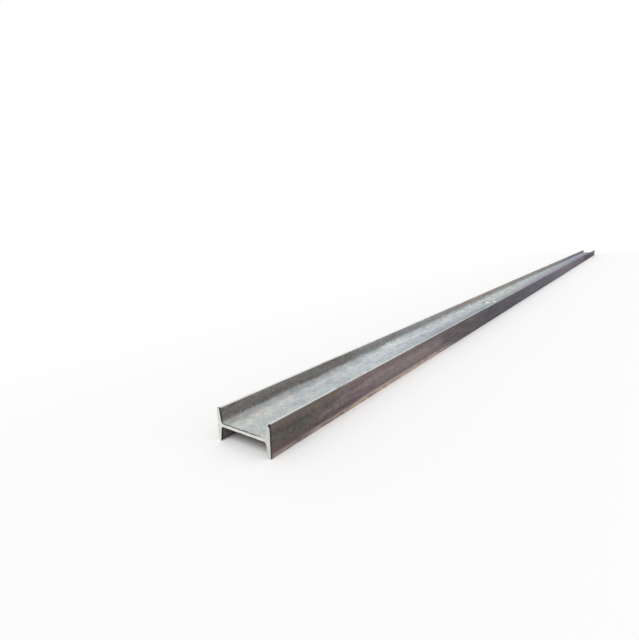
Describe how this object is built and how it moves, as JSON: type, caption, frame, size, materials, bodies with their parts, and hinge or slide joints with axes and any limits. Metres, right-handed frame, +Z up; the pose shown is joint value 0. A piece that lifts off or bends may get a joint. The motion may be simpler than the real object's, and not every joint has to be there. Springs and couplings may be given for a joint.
{
  "type": "steel h-beam",
  "caption": "Long hot-rolled steel beam with an H-shaped section: a level web between two upright flanges that taper towards their edges.",
  "frame": {"origin": "on the floor, under the middle of the beam", "axes": "+X along the beam, +Y across it from one flange to the other, +Z up, at right angles to the web"},
  "size_m": [12, 0.25, 0.125],
  "materials": {
    "rolled_steel": "as rolled: dull mill scale with light surface rust, ends sawn"
  },
  "bodies": {
    "root": {"h_beam": "rolled_steel"}
  },
  "joints": []
}
